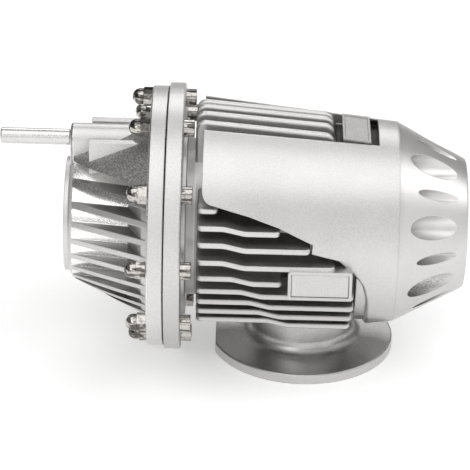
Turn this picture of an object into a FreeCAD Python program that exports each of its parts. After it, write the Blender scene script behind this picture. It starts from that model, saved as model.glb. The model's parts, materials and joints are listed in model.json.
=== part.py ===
import FreeCAD, Part
import math
import os
import Sketcher

V = FreeCAD.Vector

os.makedirs("parts", exist_ok=True)
doc = FreeCAD.newDocument("BlowOffValve")
dims = doc.addObject("Spreadsheet::Sheet", "dims")
row_count = 0
made = []


# Sizes: a value together with the formula that gives it from the sheet

class Size:

    def __init__(self, value, text):
        self.value = float(value)
        self.text = text

    def __add__(self, other):
        other = as_size(other)
        return Size(self.value + other.value, f"({self.text} + {other.text})")

    def __radd__(self, other):
        return as_size(other) + self

    def __sub__(self, other):
        other = as_size(other)
        return Size(self.value - other.value, f"({self.text} - {other.text})")

    def __rsub__(self, other):
        return as_size(other) - self

    def __mul__(self, other):
        other = as_size(other)
        return Size(self.value * other.value, f"({self.text} * {other.text})")

    def __rmul__(self, other):
        return as_size(other) * self

    def __truediv__(self, other):
        other = as_size(other)
        return Size(self.value / other.value, f"({self.text} / {other.text})")

    def __neg__(self):
        return Size(-self.value, f"(0 - {self.text})")


def as_size(number):
    if isinstance(number, Size):
        return number
    return Size(number, f"({float(number):.6g})")


def root(inner):
    return Size(math.sqrt(inner.value), f"sqrt({inner.text})")


def size(name, value):
    global row_count
    row_count += 1
    dims.set(f"A{row_count}", name)
    dims.set(f"B{row_count}", f"{value:g}")
    dims.setAlias(f"B{row_count}", name)
    return Size(value, f"dims.{name}")


# The main axis, the clamped rim and its screws

rim_face = size("rim_face", -43.4)
rim_edge_radius = size("rim_edge_radius", 0.5)
joint_edge_radius = size("joint_edge_radius", 0.15)
body_rim_radius = size("body_rim_radius", 42.0)
body_rim_thickness = size("body_rim_thickness", 5.0)
rim_height = size("rim_height", 1.4)
cover_rim_step = size("cover_rim_step", 1.1)
cover_rim_thickness = size("cover_rim_thickness", 5.0)
diaphragm_step = size("diaphragm_step", 0.2)
diaphragm_thickness = size("diaphragm_thickness", 0.4)
axis_height = body_rim_radius + rim_height
cover_rim_radius = body_rim_radius - cover_rim_step
diaphragm_radius = cover_rim_radius - diaphragm_step
body_rim_back = rim_face + body_rim_thickness
cover_face = rim_face - diaphragm_thickness
cover_rim_back = cover_face - cover_rim_thickness

screw_count = 10
screw_inset = size("screw_inset", 4.5)
screw_wall = size("screw_wall", 6.2)
screw_turn = 11
screw_radius = size("screw_radius", 1.5)
screw_length = size("screw_length", 15.0)
screw_hole_clearance = size("screw_hole_clearance", 0.3)
screw_head_radius = size("screw_head_radius", 2.75)
screw_head_length = size("screw_head_length", 3.3)
socket_flats = size("socket_flats", 2.5)
socket_depth = size("socket_depth", 1.7)
nut_flats = size("nut_flats", 5.5)
nut_hex_length = size("nut_hex_length", 3.0)
nut_length = size("nut_length", 6.5)
nut_dome_radius = size("nut_dome_radius", 2.6)
nut_bore_depth = size("nut_bore_depth", 5.1)
nut_chamfer = size("nut_chamfer", 0.6)
thread_clearance = size("thread_clearance", 0.03)
press_clearance = size("press_clearance", 0.02)
running_clearance = size("running_clearance", 0.05)
free_clearance = size("free_clearance", 0.3)
screw_circle = body_rim_radius - screw_inset
room_radius = screw_circle - screw_wall

# The body casting

step_inset = size("step_inset", 6.5)
step_thickness = size("step_thickness", 1.1)
core_radius = size("core_radius", 24.7)
shield_left = size("shield_left", -32.3)
shield_inset = size("shield_inset", 3.9)
crease_place = size("crease_place", 28.0)
crease_radius = size("crease_radius", 31.5)
window_right = size("window_right", 18.8)
window_edge_radius = size("window_edge_radius", 1.2)
window_wall_left = size("window_wall_left", 15.5)
window_wall_radius = size("window_wall_radius", 31.2)
window_wall_top = size("window_wall_top", -4.5)
window_corner_radius = size("window_corner_radius", 3.8)
window_bend_radius = size("window_bend_radius", 9.0)
slot_left_half_width = size("slot_left_half_width", 12.8)
slot_middle_half_width = size("slot_middle_half_width", 10.6)
slot_right_half_width = size("slot_right_half_width", 9.8)
slot_right = size("slot_right", 21.7)
panel_left = size("panel_left", 8.7)
panel_floor = size("panel_floor", 28.4)
step_radius = screw_circle - step_inset
shield_left_radius = body_rim_radius - shield_inset
core_right = window_right + 1

rib_pitch = size("rib_pitch", 5.27)
rib_thickness = size("rib_thickness", 2.4)
rib_left = size("rib_left", -34.8)
rib_right = size("rib_right", 8.0)
rib_root = size("rib_root", 19.0)
rib_left_inset = size("rib_left_inset", 4.1)
rib_right_inset = size("rib_right_inset", 7.7)
rib_left_bend = size("rib_left_bend", 3.0)
rib_right_bend = size("rib_right_bend", 3.0)
rib_edge_radius = size("rib_edge_radius", 0.9)
rib_left_radius = body_rim_radius - rib_left_inset
rib_right_radius = body_rim_radius - rib_right_inset

fin_inset = size("fin_inset", 6.2)
fin_reach = body_rim_radius - fin_inset
fin_thickness = size("fin_thickness", 1.8)
fin_left = size("fin_left", -33.6)
fin_corner_radius = size("fin_corner_radius", 1.6)
fin_edge_radius = size("fin_edge_radius", 0.6)
fin_jog = size("fin_jog", 1.5)
fin_jog_left = size("fin_jog_left", -25.4)
fin_jog_length = size("fin_jog_length", 6.3)
fin_jog_advance = size("fin_jog_advance", 2.8)
fin_jog_radius = size("fin_jog_radius", 8.0)
short_fin_level = size("short_fin_level", 17.1)
short_fin_right = size("short_fin_right", -27.3)
fin_levels = [
    size("fin_level_second", 11.0),
    size("fin_level_third", 5.9),
    size("fin_level_fourth", 0.26),
    size("fin_level_fifth", -5.3),
    size("fin_level_sixth", -10.2),
    size("fin_level_seventh", -14.7),
    size("fin_level_eighth", -19.3),
    size("fin_level_ninth", -24.2),
]
fin_rights = [
    size("fin_right_second", -8.3),
    size("fin_right_third", 1.0),
    size("fin_right_fourth", 8.7),
    size("fin_right_fifth", -7.2),
    size("fin_right_sixth", 14.8),
    size("fin_right_seventh", 15.0),
    size("fin_right_eighth", 14.6),
    size("fin_right_ninth", 14.2),
]

pad_place = size("pad_place", 4.3)
pad_level = size("pad_level", -4.85)
pad_width = size("pad_width", 19.6)
pad_height = size("pad_height", 9.7)
pad_step = size("pad_step", 0.6)
pad_reach = fin_reach + pad_step
pad_corner_radius = size("pad_corner_radius", 0.9)
pad_frame_width = size("pad_frame_width", 1.0)
pad_recess_depth = size("pad_recess_depth", 1.0)
plate_clearance = size("plate_clearance", 0.15)
side_plate_thickness = size("side_plate_thickness", 0.7)
top_plate_left = size("top_plate_left", 10.5)
top_plate_right = size("top_plate_right", 19.2)
top_plate_half_width = size("top_plate_half_width", 9.3)
top_plate_sink = size("top_plate_sink", 0.8)
top_plate_thickness = size("top_plate_thickness", 1.4)
top_plate_frame = size("top_plate_frame", 0.8)
top_plate_dip = size("top_plate_dip", 0.4)
pedestal_inset = size("pedestal_inset", 0.4)

# The inlet below the body

inlet_bore_radius = size("inlet_bore_radius", 13.0)
neck_radius = size("neck_radius", 15.9)
neck_bend_radius = size("neck_bend_radius", 3.8)
foot_radius = size("foot_radius", 29.2)
foot_thickness = size("foot_thickness", 3.2)
foot_rise = size("foot_rise", 0.5)
foot_edge_radius = size("foot_edge_radius", 0.5)
foot_flat = size("foot_flat", -27.5)
foot_ring_circle = size("foot_ring_circle", 19.8)
foot_ring_radius = size("foot_ring_radius", 0.9)
foot_ring_room = size("foot_ring_room", 0.3)

# Rooms inside the body, from left to right

lower_room_depth = size("lower_room_depth", 3.0)
bush_radius = size("bush_radius", 10.4)
wall_right = size("wall_right", -34.0)
chamber_radius = size("chamber_radius", 21.5)
seat_left = size("seat_left", 16.0)
seat_thickness = size("seat_thickness", 4.3)
seat_radius = size("seat_radius", 23.2)
seat_bore_radius = size("seat_bore_radius", 15.5)
spigot_radius = size("spigot_radius", 26.0)
wall_left = rim_face + lower_room_depth
seat_right = seat_left + seat_thickness

# The outlet cone

knee_place = size("knee_place", 47.6)
knee_radius = size("knee_radius", 21.4)
outlet_end = size("outlet_end", 49.8)
outlet_end_radius = size("outlet_end_radius", 20.2)
outlet_edge_radius = size("outlet_edge_radius", 0.8)
mouth_radius = size("mouth_radius", 17.3)
mouth_left = size("mouth_left", 33.0)
outlet_lip_radius = size("outlet_lip_radius", 21.0)
outlet_lip_length = size("outlet_lip_length", 1.5)
outlet_lip_slope = size("outlet_lip_slope", 2.0)
outlet_room_radius = size("outlet_room_radius", 23.4)
outlet_room_right = size("outlet_room_right", 30.0)
scoop_count = 8
scoop_radius = size("scoop_radius", 3.77)
scoop_circle = size("scoop_circle", 25.85)
scoop_floor = size("scoop_floor", 29.0)
slit_half_width = size("slit_half_width", 1.65)
slit_half_height = size("slit_half_height", 3.25)
slit_circle = size("slit_circle", 25.2)
slit_floor = size("slit_floor", 32.0)
insert_left = size("insert_left", 38.0)
insert_length = size("insert_length", 6.5)
insert_wall = size("insert_wall", 1.5)
insert_hub_radius = size("insert_hub_radius", 3.0)
insert_vane_thickness = size("insert_vane_thickness", 1.2)
outlet_clip_thickness = size("outlet_clip_thickness", 1.0)
outlet_clip_depth = size("outlet_clip_depth", 0.8)
outlet_clip_reach = size("outlet_clip_reach", 1.2)
outlet_ring_width = size("outlet_ring_width", 2.0)
outlet_ring_depth = size("outlet_ring_depth", 1.2)
outlet_ring_place = size("outlet_ring_place", 24.0)

# The cover

lip_left = size("lip_left", -75.3)
lip_thickness = size("lip_thickness", 1.4)
lip_radius = size("lip_radius", 18.0)
can_left = size("can_left", -72.7)
can_left_radius = size("can_left_radius", 20.3)
can_right = size("can_right", -54.9)
can_right_radius = size("can_right_radius", 23.0)
flare_right = size("flare_right", -50.6)
cone_inset = size("cone_inset", 5.4)
flare_step = size("flare_step", 1.3)
cover_wall = size("cover_wall", 2.1)
end_wall = size("end_wall", 2.8)
cone_right_radius = screw_circle - cone_inset
flare_right_radius = cone_right_radius - flare_step
cover_fin_thickness = size("cover_fin_thickness", 1.8)
cover_fin_levels = [
    size("cover_fin_level_first", 16.4),
    size("cover_fin_level_second", 11.2),
    size("cover_fin_level_third", 5.8),
    size("cover_fin_level_fourth", 0.4),
    size("cover_fin_level_fifth", -5.0),
    size("cover_fin_level_sixth", -10.2),
    size("cover_fin_level_seventh", -14.9),
    size("cover_fin_level_eighth", -19.2),
]
crown_level = size("crown_level", 21.4)
crown_left_radius = size("crown_left_radius", 22.4)
keel_level = size("keel_level", -23.0)
crown_wall_left = size("crown_wall_left", -67.7)
crown_wall_right = size("crown_wall_right", -50.4)
crown_wall_reach = size("crown_wall_reach", 9.6)
crown_wall_thickness = size("crown_wall_thickness", 2.7)
crown_wall_top = size("crown_wall_top", 29.0)
crown_wall_root = size("crown_wall_root", 15.0)
boss_height = size("boss_height", 26.4)
boss_radius = size("boss_radius", 4.5)
boss_left = size("boss_left", -73.9)
boss_length = size("boss_length", 22.0)
boss_edge_radius = size("boss_edge_radius", 1.0)
nipple_radius = size("nipple_radius", 2.5)
nipple_end_radius = size("nipple_end_radius", 2.1)
nipple_bore_radius = size("nipple_bore_radius", 1.4)
nipple_left = size("nipple_left", -95.7)
nipple_depth = size("nipple_depth", 8.0)
nipple_edge = size("nipple_edge", 0.35)
passage_length = size("passage_length", 3.0)
passage_radius = size("passage_radius", 1.2)
nipple_right = boss_left + nipple_depth

# The diaphragm, its plates and the shaft

roll_width = size("roll_width", 6.3)
roll_height = size("roll_height", 3.0)
roll_slant = size("roll_slant", 0.9)
roll_bend_radius = size("roll_bend_radius", 0.5)
roll_clearance = size("roll_clearance", 0.4)
lower_plate_inset = size("lower_plate_inset", 0.6)
lower_plate_thickness = size("lower_plate_thickness", 1.2)
upper_plate_inset = size("upper_plate_inset", 5.1)
upper_plate_thickness = size("upper_plate_thickness", 1.2)
stem_radius = size("stem_radius", 2.0)
stem_hole_clearance = size("stem_hole_clearance", 0.05)
rod_radius = size("rod_radius", 3.0)
shoulder_radius = size("shoulder_radius", 5.0)
shoulder_thickness = size("shoulder_thickness", 0.6)
shaft_left = size("shaft_left", -49.6)
shaft_right = size("shaft_right", 16.6)
washer_radius = size("washer_radius", 4.5)
washer_thickness = size("washer_thickness", 0.6)
stem_nut_flats = size("stem_nut_flats", 7.0)
stem_nut_thickness = size("stem_nut_thickness", 2.7)
roll_outer_radius = room_radius - roll_clearance
roll_inner_radius = roll_outer_radius - roll_width
lower_plate_radius = roll_inner_radius - lower_plate_inset
upper_plate_radius = roll_inner_radius - upper_plate_inset
lower_plate_right = rim_face + lower_plate_thickness
upper_plate_left = cover_face - upper_plate_thickness

# The guide bush

bush_flange_radius = size("bush_flange_radius", 12.5)
bush_flange_thickness = size("bush_flange_thickness", 1.0)
bush_right = size("bush_right", -4.0)
bush_relief_radius = size("bush_relief_radius", 5.5)
bush_relief_left = size("bush_relief_left", -20.0)
bush_seal_radius = size("bush_seal_radius", 5.6)
bush_seal_length = size("bush_seal_length", 2.3)
bush_clip_depth = size("bush_clip_depth", 0.8)
bush_clip_thickness = size("bush_clip_thickness", 1.0)
bush_clip_reach = size("bush_clip_reach", 2.1)
bush_left = wall_left - bush_flange_thickness

# The two valves

primary_radius = size("primary_radius", 8.5)
primary_thickness = size("primary_thickness", 3.0)
primary_seal_inner = size("primary_seal_inner", 6.95)
primary_seal_outer = size("primary_seal_outer", 8.05)
seal_depth = size("seal_depth", 0.9)
secondary_radius = size("secondary_radius", 17.5)
secondary_thickness = size("secondary_thickness", 2.8)
secondary_hole_radius = size("secondary_hole_radius", 6.5)
secondary_seal_inner = size("secondary_seal_inner", 15.85)
secondary_seal_outer = size("secondary_seal_outer", 16.95)
skirt_radius = size("skirt_radius", 12.0)
skirt_left = size("skirt_left", -16.0)
skirt_window_left = size("skirt_window_left", -2.5)
skirt_window_right = size("skirt_window_right", 4.2)
skirt_window_width = size("skirt_window_width", 8.0)
pickup_right = size("pickup_right", 7.7)
pickup_thickness = size("pickup_thickness", 1.2)
pickup_inner_radius = size("pickup_inner_radius", 5.0)
pickup_clip_thickness = size("pickup_clip_thickness", 0.9)
pickup_clip_depth = size("pickup_clip_depth", 0.6)
pickup_clip_reach = size("pickup_clip_reach", 1.0)
clip_gap = size("clip_gap", 3.0)
clip_room = size("clip_room", 0.05)
skirt_bore_radius = bush_radius + running_clearance * 2
secondary_left = seat_left - secondary_thickness
primary_left = secondary_left - primary_thickness

# The springs

return_spring_radius = size("return_spring_radius", 14.0)
return_spring_wire = size("return_spring_wire", 0.8)
return_spring_turns = size("return_spring_turns", 5.0)
spring_seat_height = size("spring_seat_height", 1.2)
spring_seat_wall = size("spring_seat_wall", 1.4)
sequence_spring_radius = size("sequence_spring_radius", 7.5)
sequence_spring_wire = size("sequence_spring_wire", 0.3)
sequence_spring_turns = size("sequence_spring_turns", 2.0)
spring_clearance = size("spring_clearance", 0.05)


# Ways of making things

def part_body(label):
    body = doc.addObject("PartDesign::Body", label)
    body.Label = label
    return body


def origin_feature(body, role):
    return [f for f in body.Origin.OriginFeatures if f.Role == role][0]


def bind(thing, name, amount):
    thing.setExpression(name, amount.text)


def pin(sketch, line, end, x, y):
    for way, amount in (("DistanceX", x), ("DistanceY", y)):
        amount = as_size(amount)
        index = sketch.addConstraint(Sketcher.Constraint(way, -1, 1, line, end, amount.value))
        if "dims." in amount.text:
            bind(sketch, f"Constraints[{index}]", amount)


def new_sketch(body, plane, lift):
    sketch = body.newObject("Sketcher::SketchObject", "Sketch")
    sketch.AttachmentSupport = [(origin_feature(body, plane + "_Plane"), "")]
    sketch.MapMode = "FlatFace"
    if lift is not None:
        lift = as_size(lift)
        sketch.AttachmentOffset = FreeCAD.Placement(V(0, 0, lift.value), FreeCAD.Rotation())
        if "dims." in lift.text:
            bind(sketch, "AttachmentOffset.Base.z", lift)
    return sketch


def outline(body, points, plane="XZ", lift=None):
    sketch = new_sketch(body, plane, lift)
    corners = [(as_size(x), as_size(y)) for x, y in points]
    count = len(corners)
    for i in range(count):
        start = V(corners[i][0].value, corners[i][1].value, 0)
        end = V(corners[(i + 1) % count][0].value, corners[(i + 1) % count][1].value, 0)
        sketch.addGeometry(Part.LineSegment(start, end), False)
    for i in range(count):
        sketch.addConstraint(Sketcher.Constraint("Coincident", i, 2, (i + 1) % count, 1))
    for i in range(count):
        pin(sketch, i, 1, corners[i][0], corners[i][1])
    return sketch


def ring(body, x, y, radius, plane="XZ", lift=None):
    sketch = new_sketch(body, plane, lift)
    x, y = as_size(x), as_size(y)
    sketch.addGeometry(Part.Circle(V(x.value, y.value, 0), V(0, 0, 1), radius.value), False)
    pin(sketch, 0, 3, x, y)
    index = sketch.addConstraint(Sketcher.Constraint("Radius", 0, radius.value))
    bind(sketch, f"Constraints[{index}]", radius)
    return sketch


def oval(body, x, y, half_width, half_height, plane, lift):
    sketch = new_sketch(body, plane, lift)
    x, y = as_size(x), as_size(y)
    top = V(x.value, (y + half_height).value, 0)
    side = V((x + half_width).value, y.value, 0)
    sketch.addGeometry(Part.Ellipse(top, side, V(x.value, y.value, 0)), False)
    sketch.exposeInternalGeometry(0)
    pin(sketch, 0, 3, x, y)
    sketch.addConstraint(Sketcher.Constraint("Vertical", 1))
    for line, half in ((1, half_height), (2, half_width)):
        index = sketch.addConstraint(Sketcher.Constraint("Distance", line, (half * 2).value))
        bind(sketch, f"Constraints[{index}]", half * 2)
    return sketch


def volume(body):
    doc.recompute()
    return body.Shape.Volume if body.Shape.Solids else 0.0


def turn(body, sketch, axis="H_Axis"):
    feature = body.newObject("PartDesign::Revolution", "Turn")
    feature.Profile = sketch
    feature.ReferenceAxis = (sketch, [axis])
    feature.Angle = 360
    sketch.Visibility = False
    return feature


def turn_away(body, sketch, axis="H_Axis"):
    before = volume(body)
    feature = body.newObject("PartDesign::Groove", "Groove")
    feature.Profile = sketch
    feature.ReferenceAxis = (sketch, [axis])
    feature.Angle = 360
    if not volume(body) < before - 1e-6:
        raise ValueError(f"{body.Label}: a groove takes nothing away")
    return feature


def pad(body, sketch, length, way="Symmetric", reverse=False):
    feature = body.newObject("PartDesign::Pad", "Pad")
    feature.Profile = sketch
    feature.SideType = way
    feature.Reversed = reverse
    bind(feature, "Length", as_size(length))
    return feature


def pocket(body, sketch, length, way="Symmetric", reverse=False):
    before = volume(body)
    feature = body.newObject("PartDesign::Pocket", "Pocket")
    feature.Profile = sketch
    feature.SideType = way
    feature.Reversed = reverse
    bind(feature, "Length", as_size(length))
    if not volume(body) < before - 1e-6:
        raise ValueError(f"{body.Label}: a pocket takes nothing away")
    return feature


def around(body, feature, count):
    pattern = body.newObject("PartDesign::PolarPattern", "Pattern")
    pattern.Originals = [feature]
    pattern.Axis = (origin_feature(body, "X_Axis"), [""])
    pattern.Angle = 360
    pattern.Occurrences = count
    body.Tip = pattern
    return pattern


def soften(body, radius, chosen, kind="PartDesign::Fillet"):
    doc.recompute()
    tip = body.Tip
    names = [f"Edge{i + 1}" for i, edge in enumerate(tip.Shape.Edges) if chosen(edge)]
    if not names:
        raise ValueError(f"{body.Label}: no edge to soften")
    feature = body.newObject(kind, "Soft")
    feature.Base = (tip, names)
    bind(feature, "Radius" if kind.endswith("Fillet") else "Size", radius)
    return feature


def along(axis):
    def chosen(edge):
        box = edge.BoundBox
        spans = {"x": box.XLength, "y": box.YLength, "z": box.ZLength}
        rest = [span for name, span in spans.items() if name != axis]
        return spans[axis] > 0.01 and max(rest) < 0.01
    return chosen


def circle_of(radius, place=None, normal="x"):
    def chosen(edge):
        curve = edge.Curve
        if not isinstance(curve, Part.Circle) or abs(curve.Radius - radius.value) > 0.01:
            return False
        if abs(getattr(curve.Axis, normal)) < 0.99:
            return False
        return place is None or abs(getattr(curve.Center, normal) - place.value) < 0.01
    return chosen


def hexagon(flats):
    corner = flats / math.sqrt(3)
    return [(corner * math.cos(math.radians(60 * i)), corner * math.sin(math.radians(60 * i)))
            for i in range(6)]


def box_outline(left, right, low, high):
    return [(left, low), (right, low), (right, high), (left, high)]


def placed(thing, label):
    thing.Label = label
    bind(thing, "Placement.Base.z", axis_height)
    made.append(thing)
    return thing


def joined(label, members):
    thing = doc.addObject("Part::MultiFuse", label)
    thing.Shapes = members
    thing.Refine = True
    return thing


def shared(label, members):
    thing = doc.addObject("Part::MultiCommon", label)
    thing.Shapes = members
    return thing


def without(label, base, tool):
    thing = doc.addObject("Part::Cut", label)
    thing.Base = base
    thing.Tool = tool
    thing.Refine = True
    return thing


def turned_part(label, points):
    body = part_body(label)
    turn(body, outline(body, points))
    return body


def tube_part(label, left, right, inner, outer):
    return turned_part(label, box_outline(left, right, inner, outer))


def screw_place(number):
    angle = math.radians(90 - 180 / screw_count - 360 / screw_count * number)
    return screw_circle * -math.cos(angle), screw_circle * math.sin(angle)


def screw_hole_pins(name, place, length):
    body = part_body(name)
    across, up = screw_place(0)
    pad(body, ring(body, across, up, screw_radius + screw_hole_clearance, "YZ", place), length)
    around(body, body.Tip, screw_count)
    return body


def snap_ring(label, left, right, inner, outer):
    body = tube_part(label, left, right, inner, outer)
    half = clip_gap / 2
    gap = outline(body, box_outline(left - 1, right + 1, -half, half), "XY")
    pocket(body, gap, outer + 5, "One side", True)
    return placed(body, label)


def stem_nut(label, left):
    body = part_body(label)
    pad(body, outline(body, hexagon(stem_nut_flats), "YZ", left), stem_nut_thickness, "One side")
    hole = ring(body, 0, 0, stem_radius + thread_clearance, "YZ", left)
    pocket(body, hole, stem_nut_thickness + 1, "One side", True)
    return placed(body, label)


def spring(label, left, right, radius, wire, turns):
    body = part_body(label)
    start = left + wire + spring_clearance
    length = right - left - 2 * wire - 2 * spring_clearance
    coil = body.newObject("PartDesign::AdditiveHelix", "Coil")
    coil.Profile = ring(body, start, radius, wire)
    coil.ReferenceAxis = (coil.Profile[0], ["H_Axis"])
    coil.Mode = 0
    bind(coil, "Height", length)
    bind(coil, "Pitch", length / turns)
    return placed(body, label)


# valve_body: the outer form

far = as_size(60)
wide = far * 2
envelope_slope = (shield_left_radius - crease_radius) / (crease_place - shield_left)


def envelope(place):
    return shield_left_radius - envelope_slope * (place - shield_left)


shell = part_body("body_shell")
turn(shell, outline(shell, [
    (shield_left, 0),
    (crease_place, 0),
    (crease_place, crease_radius),
    (shield_left, shield_left_radius),
]))
window_first_level = size("window_first_level", 20.6)
window_last_level = size("window_last_level", -13.0)
window_points = [
    (shield_left - 20, -far),
    (shield_left - 20, window_first_level),
    (shield_left, window_first_level),
    (size("window_second_place", -17.6), size("window_second_level", 16.3)),
    (size("window_third_place", -8.4), size("window_third_level", 12.9)),
    (size("window_fourth_place", 1.7), size("window_fourth_level", 7.8)),
    (size("window_fifth_place", 1.5), size("window_fifth_level", 5.0)),
    (size("window_sixth_place", 8.6), size("window_sixth_level", 2.9)),
    (size("window_seventh_place", 14.3), size("window_seventh_level", -2.1)),
    (size("window_eighth_place", 17.6), size("window_eighth_level", -7.0)),
    (window_right, window_last_level),
    (window_right, -far),
]
pocket(shell, outline(shell, window_points), wide)


def window_corner(edge):
    box = edge.BoundBox
    flat = box.XLength < 0.01 and box.ZLength < 0.01
    level = window_first_level.value
    return flat and abs(box.XMin - shield_left.value) < 0.1 and abs(box.ZMin - level) < 0.1


def window_bend(edge):
    box = edge.BoundBox
    flat = box.XLength < 0.01 and box.ZLength < 0.01 and box.YLength > 20
    bends = [window_points[i] for i in (3, 4, 8, 9, 10)]
    near = [abs(box.XMin - as_size(x).value) + abs(box.ZMin - as_size(z).value) < 0.1 for x, z in bends]
    return flat and any(near)


soften(shell, window_corner_radius, window_corner)
soften(shell, window_bend_radius, window_bend)
soften(shell, window_edge_radius, circle_of(envelope(window_right), window_right))
pocket(shell, outline(shell, [
    (shield_left - 1, -slot_left_half_width),
    (panel_left, -slot_middle_half_width),
    (panel_left, slot_middle_half_width),
    (shield_left - 1, slot_left_half_width),
], "XY"), far, "One side", True)
pocket(shell, outline(shell, [
    (panel_left - 1, -slot_middle_half_width),
    (slot_right, -slot_right_half_width),
    (slot_right, slot_right_half_width),
    (panel_left - 1, slot_middle_half_width),
], "XY", panel_floor), far, "One side", True)


def plate_top(place, drop):
    return place, envelope(place) - top_plate_sink - drop


pedestal = part_body("body_pedestal")
pedestal_left = top_plate_left + pedestal_inset
pedestal_right = top_plate_right - pedestal_inset
pad(pedestal, outline(pedestal, [
    (pedestal_left, panel_floor - 1),
    (pedestal_right, panel_floor - 1),
    plate_top(pedestal_right, top_plate_thickness),
    plate_top(pedestal_left, top_plate_thickness),
]), (top_plate_half_width - pedestal_inset) * 2)

frame = turned_part("body_core", [
    (rim_face, 0),
    (core_right, 0),
    (core_right, core_radius),
    (body_rim_back + step_thickness, core_radius),
    (body_rim_back + step_thickness, step_radius),
    (body_rim_back, step_radius),
    (body_rim_back, body_rim_radius),
    (rim_face, body_rim_radius),
])
soften(frame, rim_edge_radius, circle_of(body_rim_radius, body_rim_back))
soften(frame, joint_edge_radius, circle_of(body_rim_radius, rim_face))

window_wall = turned_part("body_window_wall", box_outline(
    window_wall_left, core_right, chamber_radius, window_wall_radius))
pocket(window_wall, outline(window_wall, box_outline(
    window_wall_left - 1, core_right + 1, window_wall_top, far)), wide)

neck = part_body("body_neck")
turn(neck, outline(neck, [
    (0, -axis_height),
    (foot_radius, -axis_height),
    (foot_radius, foot_thickness - axis_height),
    (neck_radius, foot_thickness + foot_rise - axis_height),
    (neck_radius, -chamber_radius + 4),
    (0, -chamber_radius + 4),
]), "V_Axis")
pocket(neck, outline(neck, box_outline(
    foot_flat - 20, foot_flat, -axis_height - 1, foot_thickness + 2 - axis_height)), wide)
soften(neck, neck_bend_radius, circle_of(neck_radius, foot_thickness + foot_rise - axis_height, "z"))
soften(neck, foot_edge_radius, circle_of(foot_radius, foot_thickness - axis_height, "z"))

badge = part_body("body_badge_pad")
pad_half = pad_width / 2
pad_rise = pad_height / 2
pad(badge, outline(badge, box_outline(
    pad_place - pad_half, pad_place + pad_half, pad_level - pad_rise, pad_level + pad_rise)), pad_reach * 2)
soften(badge, pad_corner_radius, along("y"))
pad_recess = box_outline(
    pad_place - pad_half + pad_frame_width, pad_place + pad_half - pad_frame_width,
    pad_level - pad_rise + pad_frame_width, pad_level + pad_rise - pad_frame_width)
pocket(badge, outline(badge, pad_recess, "XZ", pad_reach), pad_recess_depth, "One side")
pocket(badge, outline(badge, pad_recess, "XZ", -pad_reach), pad_recess_depth, "One side", True)


# valve_body: fins below the window, ribs in the top slot

def nose_edges(edge):
    box = edge.BoundBox
    return box.YLength < 0.01


def upright_edges(edge):
    return along("z")(edge)


def fin(name, level, right, jog_left, jog):
    body = part_body(name)
    half = fin_thickness / 2
    if jog is None:
        points = box_outline(fin_left, right, level - half, level + half)
    else:
        jog_right = jog_left + fin_jog_length
        points = [
            (fin_left, level + jog - half), (jog_left, level + jog - half), (jog_right, level - half),
            (right, level - half), (right, level + half), (jog_right, level + half),
            (jog_left, level + jog + half), (fin_left, level + jog + half),
        ]
    reach = root(fin_reach * fin_reach - level * level)
    pad(body, outline(body, points), reach * 2)
    if jog is not None:
        ends = (jog_left.value, (jog_left + fin_jog_length).value)
        soften(body, fin_jog_radius, lambda edge: along("y")(edge)
               and min(abs(edge.BoundBox.XMin - end) for end in ends) < 0.01)
    soften(body, fin_corner_radius, upright_edges)
    soften(body, fin_edge_radius, nose_edges)
    return body


fins = [fin("body_fin_short", short_fin_level, short_fin_right, None, None)]
for number, (level, right) in enumerate(zip(fin_levels, fin_rights)):
    jog_left = fin_jog_left + fin_jog_advance * max(0, number - 2)
    fins.append(fin(f"body_fin_{number + 2}", level, right, jog_left, fin_jog))


def rib(number):
    body = part_body(f"body_rib_{number}")
    aside = rib_pitch * (number - 2.5)
    left_top = root(rib_left_radius * rib_left_radius - aside * aside)
    right_top = root(rib_right_radius * rib_right_radius - aside * aside)
    pad(body, outline(body, [
        (rib_left, rib_root), (rib_right, rib_root), (rib_right, right_top), (rib_left, left_top),
    ], "XZ", aside), rib_thickness)
    high = rib_root.value + 0.1
    soften(body, rib_left_bend, lambda edge: along("y")(edge)
           and edge.BoundBox.ZMin > high and edge.BoundBox.XMin < 0)
    soften(body, rib_right_bend, lambda edge: along("y")(edge)
           and edge.BoundBox.ZMin > high and edge.BoundBox.XMin > 0)
    soften(body, rib_edge_radius, lambda edge: nose_edges(edge) and edge.BoundBox.ZMax > high)
    return body


ribs = [rib(number) for number in (1, 2, 3, 4)]

# valve_body: what is bored out

rooms = turned_part("body_rooms", [
    (rim_face - 1, 0),
    (crease_place + 1, 0),
    (crease_place + 1, spigot_radius + running_clearance),
    (seat_right, spigot_radius + running_clearance),
    (seat_right, seat_radius + running_clearance),
    (seat_left, seat_radius + running_clearance),
    (seat_left, chamber_radius),
    (wall_right, chamber_radius),
    (wall_right, bush_radius + press_clearance),
    (wall_left, bush_radius + press_clearance),
    (wall_left, room_radius),
    (rim_face - 1, room_radius),
])
inlet_cut = part_body("body_inlet_cut")
turn(inlet_cut, outline(inlet_cut, box_outline(
    0, inlet_bore_radius, -axis_height - 1, -chamber_radius + 6)), "V_Axis")
ring_room_half = foot_ring_radius + foot_ring_room
turn(inlet_cut, outline(inlet_cut, box_outline(
    foot_ring_circle - ring_room_half, foot_ring_circle + ring_room_half,
    -axis_height - 1, foot_ring_radius * 2 + foot_ring_room - axis_height)), "V_Axis")
drill = screw_hole_pins("body_screw_holes", rim_face + body_rim_thickness / 2, body_rim_thickness + 2)
body_solid = joined("body_solid", [shell, frame, window_wall, neck, badge, pedestal] + fins + ribs)
body_hollow = joined("body_hollow", [rooms, inlet_cut, drill])
placed(without("valve_body", body_solid, body_hollow), "valve_body")


# diaphragm_cover: a ribbed cone over a plain can, with the nipple boss on its crown

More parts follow.
